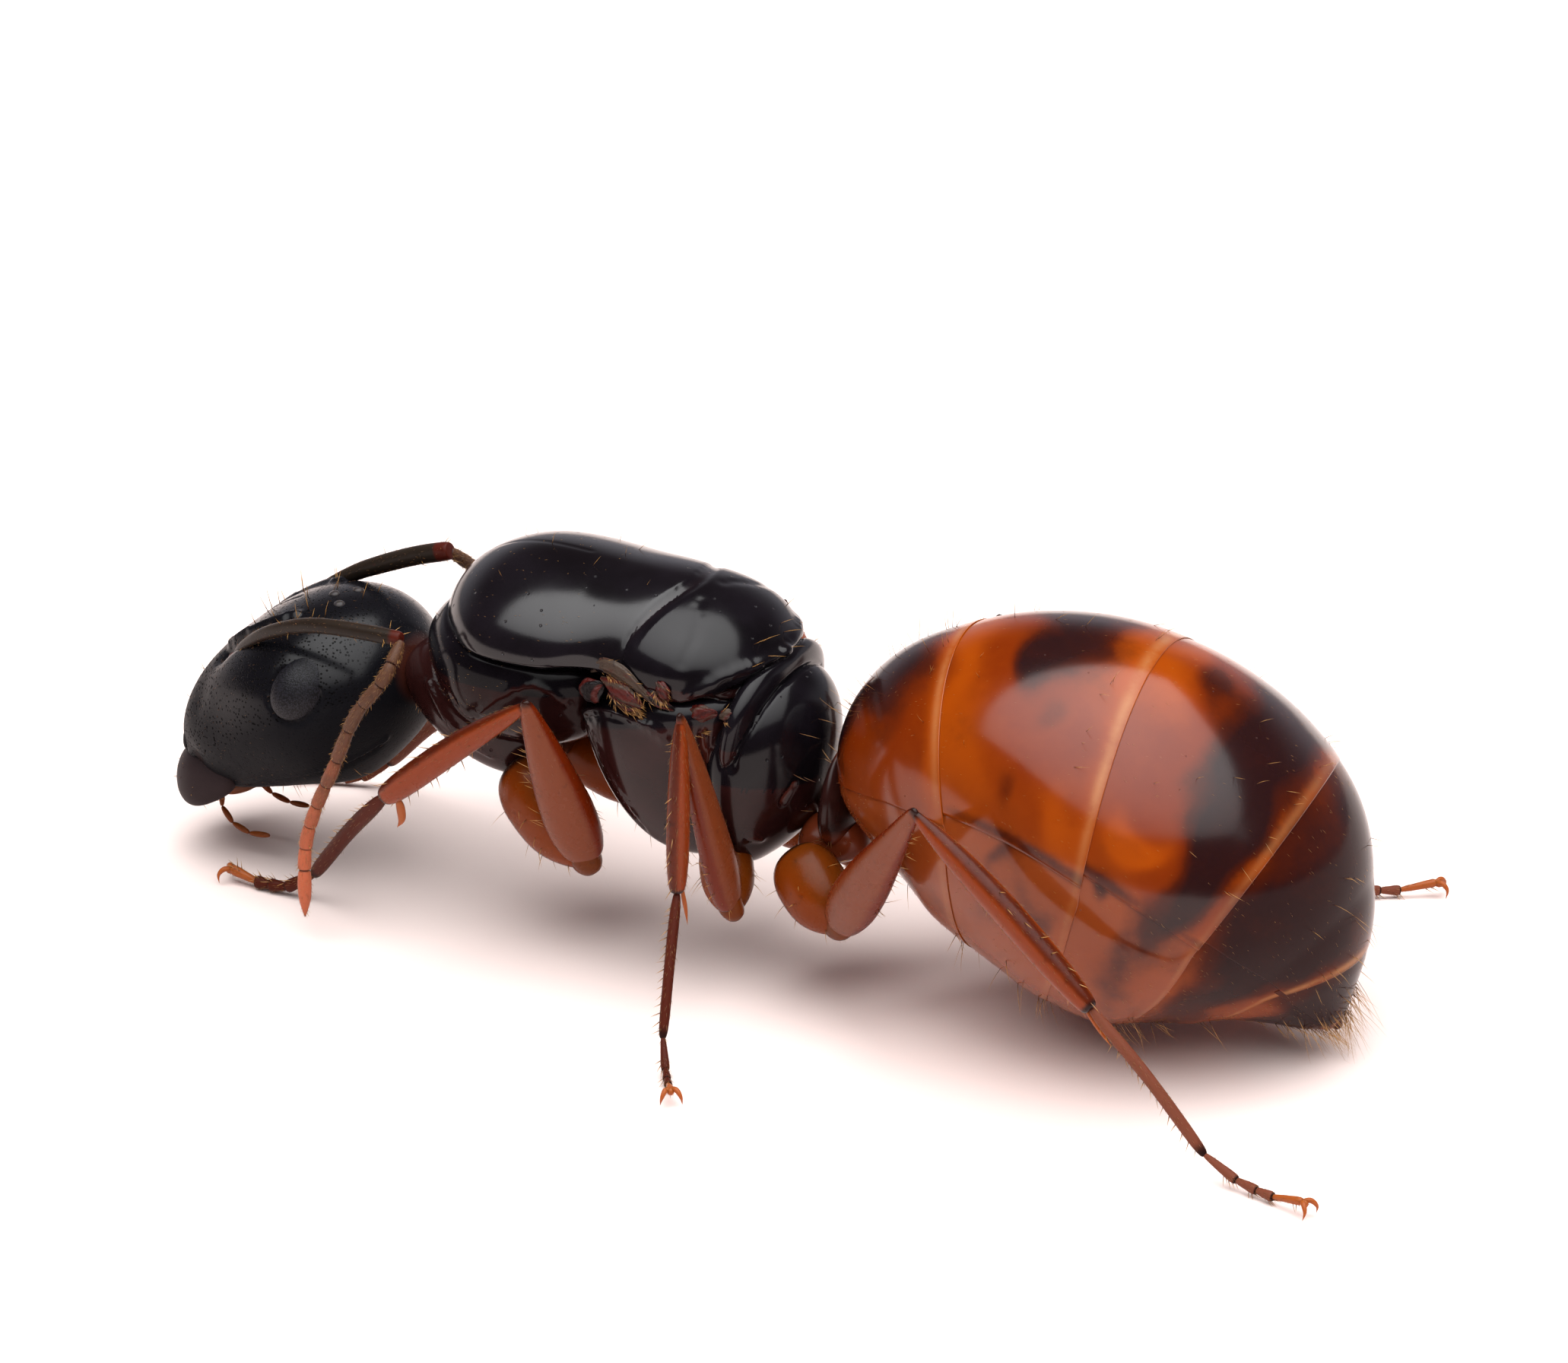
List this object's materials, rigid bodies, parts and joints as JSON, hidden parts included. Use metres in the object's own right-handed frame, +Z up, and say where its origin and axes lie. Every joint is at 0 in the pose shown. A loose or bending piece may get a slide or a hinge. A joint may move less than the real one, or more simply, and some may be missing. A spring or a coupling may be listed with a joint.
{
  "type": "wingless carpenter ant queen",
  "caption": "Life-size queen carpenter ant that has shed her wings, glossy black head and middle with a swollen amber banded abdomen, standing as a still model.",
  "frame": {"origin": "middle of the floor under the whole ant, at the level of the soles of her six feet", "axes": "+X runs from the head back to the tip of the abdomen, +Z up, and her left side is towards -Y"},
  "size_m": [0.0174, 0.0098, 0.0053],
  "materials": {
    "shell_black": "polished natural shell",
    "head_black": "satin natural shell with fine pits",
    "eye_grey": "fine facets, semi-gloss",
    "feeler_brown": "semi-gloss natural shell",
    "wing_scar": "dull torn membrane",
    "gaster_banded": "polished natural shell",
    "gaster_amber": "polished translucent natural shell",
    "gaster_dark": "polished natural shell",
    "hip_amber": "polished translucent natural shell",
    "leg_brown": "polished translucent natural shell",
    "shin_red": "semi-gloss natural shell",
    "hair_gold": "fine springy bristle"
  },
  "bodies": {
    "root": {"head_capsule": "head_black", "clypeus": "head_black", "mandible_left": "head_black", "mandible_right": "head_black", "eye_left": "eye_grey", "eye_right": "eye_grey", "palp_left": "feeler_brown", "palp_right": "feeler_brown", "scape_left": "feeler_brown", "scape_right": "feeler_brown", "funiculus_left": "feeler_brown", "funiculus_right": "feeler_brown", "scutum": "shell_black", "scutellum": "shell_black", "pronotum": "shell_black", "mesopleuron": "shell_black", "metanotum": "shell_black", "propodeum": "shell_black", "propleuron": "shell_black", "petiole": "shell_black", "forewing_stump_left": "wing_scar", "forewing_stump_right": "wing_scar", "hindwing_stump_left": "wing_scar", "hindwing_stump_right": "wing_scar", "gaster_plate_1": "gaster_banded", "gaster_plate_3": "gaster_banded", "gaster_plate_2": "gaster_amber", "gaster_plate_4": "gaster_dark", "gaster_plate_5": "gaster_dark", "fore_leg_left_coxa": "hip_amber", "fore_leg_left_femur": "leg_brown", "fore_leg_left_tibia": "shin_red", "fore_leg_left_tarsus": "shin_red", "fore_leg_right_coxa": "hip_amber", "fore_leg_right_femur": "leg_brown", "fore_leg_right_tibia": "shin_red", "fore_leg_right_tarsus": "shin_red", "mid_leg_left_coxa": "hip_amber", "mid_leg_left_femur": "leg_brown", "mid_leg_left_tibia": "shin_red", "mid_leg_left_tarsus": "shin_red", "mid_leg_right_coxa": "hip_amber", "mid_leg_right_femur": "leg_brown", "mid_leg_right_tibia": "shin_red", "mid_leg_right_tarsus": "shin_red", "hind_leg_left_coxa": "hip_amber", "hind_leg_left_femur": "leg_brown", "hind_leg_left_tibia": "shin_red", "hind_leg_left_tarsus": "shin_red", "hind_leg_right_coxa": "hip_amber", "hind_leg_right_femur": "leg_brown", "hind_leg_right_tibia": "shin_red", "hind_leg_right_tarsus": "shin_red"}
  },
  "joints": []
}
